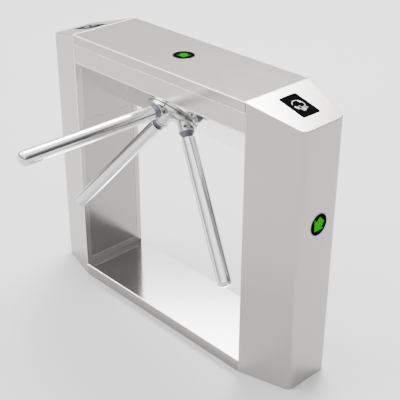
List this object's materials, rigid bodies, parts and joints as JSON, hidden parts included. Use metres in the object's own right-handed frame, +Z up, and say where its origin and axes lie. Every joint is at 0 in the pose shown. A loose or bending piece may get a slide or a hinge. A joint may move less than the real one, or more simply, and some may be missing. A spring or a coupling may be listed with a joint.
{
  "type": "tripod turnstile",
  "caption": "Bridge-type tripod turnstile: brushed steel cabinet with lid and doors, direction lamps, card readers and a three-arm rotor with index, locking and damping mechanism.",
  "frame": {"origin": "floor level at the centre of the cabinet's footprint, on the plinth's middle floor strap", "axes": "+X along the beam towards the right column, -Y towards the passage that the arms reach into, +Z up"},
  "size_m": [1.2012, 0.7986, 0.9806],
  "materials": {
    "brushed_steel": "brushed stainless, fine grain",
    "polished_steel": "polished stainless",
    "chrome": "bright chrome",
    "slate_collar": "slate grey semi-gloss",
    "dark_steel": "machined steel",
    "zinc_steel": "zinc plated",
    "black_glass": "gloss black",
    "black_plastic": "satin moulded",
    "brass": "machined",
    "circuit_board": "solder mask"
  },
  "bodies": {
    "cabinet": {"base_plinth": "polished_steel", "beam_housing": "brushed_steel", "lid_hinge_fixed_leaf": "dark_steel", "left_column_shell": "brushed_steel", "right_column_shell": "brushed_steel", "left_arrow_lamp": "black_glass", "right_arrow_lamp": "black_glass", "mechanism_plate": "zinc_steel", "bearing_housing": "zinc_steel", "front_bearing": "dark_steel", "rear_bearing": "dark_steel", "damper_plate": "zinc_steel", "damper_body": "black_plastic", "counter_sensor": "black_plastic", "left_solenoid": "black_plastic", "right_solenoid": "black_plastic", "control_board": "circuit_board", "power_supply": "zinc_steel", "left_reader_window": "black_glass", "right_reader_window": "black_glass", "left_reader_module": "black_plastic", "right_reader_module": "black_plastic", "left_upper_cover": "brushed_steel", "right_upper_cover": "brushed_steel"},
    "tripod": {"tripod_hub": "polished_steel", "hub_cap": "chrome", "main_shaft": "dark_steel", "index_wheel": "dark_steel", "slotted_disc": "zinc_steel", "damper_gear": "brass", "arm_a_collar": "slate_collar", "arm_a_cross_pin": "dark_steel", "arm_a_tube": "chrome", "arm_a_end_cap": "chrome", "arm_b_collar": "slate_collar", "arm_b_cross_pin": "dark_steel", "arm_b_tube": "chrome", "arm_b_end_cap": "chrome", "arm_c_collar": "slate_collar", "arm_c_cross_pin": "dark_steel", "arm_c_tube": "chrome", "arm_c_end_cap": "chrome"},
    "damper_pinion": {"damper_pinion": "brass"},
    "lid": {"top_lid": "brushed_steel", "lid_hinge_moving_leaf": "dark_steel", "lid_hinge_pin": "dark_steel", "top_arrow_lamp": "black_glass"},
    "left_pawl": {"left_pawl": "dark_steel"},
    "left_plunger": {"left_plunger": "zinc_steel"},
    "left_door": {"left_access_door": "brushed_steel", "left_door_rod": "dark_steel"},
    "left_lock": {"left_door_lock": "chrome"},
    "right_pawl": {"right_pawl": "dark_steel"},
    "right_plunger": {"right_plunger": "zinc_steel"},
    "right_door": {"right_access_door": "brushed_steel", "right_door_rod": "dark_steel"},
    "right_lock": {"right_door_lock": "chrome"}
  },
  "joints": [
    {"name": "tripod_spin", "type": "hinge", "parent": "cabinet", "child": "tripod", "pos_m": [0, -0.05, 0.79], "axis": [0, -0.7071, -0.7071], "continuous": true},
    {"name": "damper_spin", "type": "hinge", "parent": "cabinet", "child": "damper_pinion", "pos_m": [0.052, 0.03485, 0.83243], "axis": [0, -0.7071, -0.7071], "continuous": true},
    {"name": "lid_hinge", "type": "hinge", "parent": "cabinet", "child": "lid", "pos_m": [0, 0.144, 0.945], "axis": [-1, 0, 0], "range_deg": [0, 95]},
    {"name": "right_pawl_turn", "type": "hinge", "parent": "cabinet", "child": "right_pawl", "pos_m": [0.0494, -0.04434, 0.88475], "axis": [0, 0.7071, 0.7071], "range_deg": [0, 16]},
    {"name": "right_plunger_slide", "type": "slide", "parent": "cabinet", "child": "right_plunger", "axis": [1, 0, 0], "range_m": [0, 0.0098]},
    {"name": "right_door_hinge", "type": "hinge", "parent": "cabinet", "child": "right_door", "pos_m": [0.419, 0.102, 0.36], "axis": [0, 0, -1], "range_deg": [0, 100]},
    {"name": "right_lock_turn", "type": "hinge", "parent": "right_door", "child": "right_lock", "pos_m": [0.42, -0.092, 0.56], "axis": [1, 0, 0], "range_deg": [0, 90]},
    {"name": "left_pawl_turn", "type": "hinge", "parent": "cabinet", "child": "left_pawl", "pos_m": [-0.0494, -0.04434, 0.88475], "axis": [0, -0.7071, -0.7071], "range_deg": [0, 16]},
    {"name": "left_plunger_slide", "type": "slide", "parent": "cabinet", "child": "left_plunger", "axis": [-1, 0, 0], "range_m": [0, 0.0098]},
    {"name": "left_door_hinge", "type": "hinge", "parent": "cabinet", "child": "left_door", "pos_m": [-0.419, 0.102, 0.36], "axis": [0, 0, 1], "range_deg": [0, 100]},
    {"name": "left_lock_turn", "type": "hinge", "parent": "left_door", "child": "left_lock", "pos_m": [-0.42, -0.092, 0.56], "axis": [1, 0, 0], "range_deg": [0, 90]}
  ],
  "couplings": [
    {"joint": "damper_spin", "follows": "tripod_spin", "ratio": -2},
    {"joint": "right_plunger_slide", "follows": "right_pawl_turn", "m_per_rad": 0.034},
    {"joint": "left_plunger_slide", "follows": "left_pawl_turn", "m_per_rad": 0.034}
  ]
}
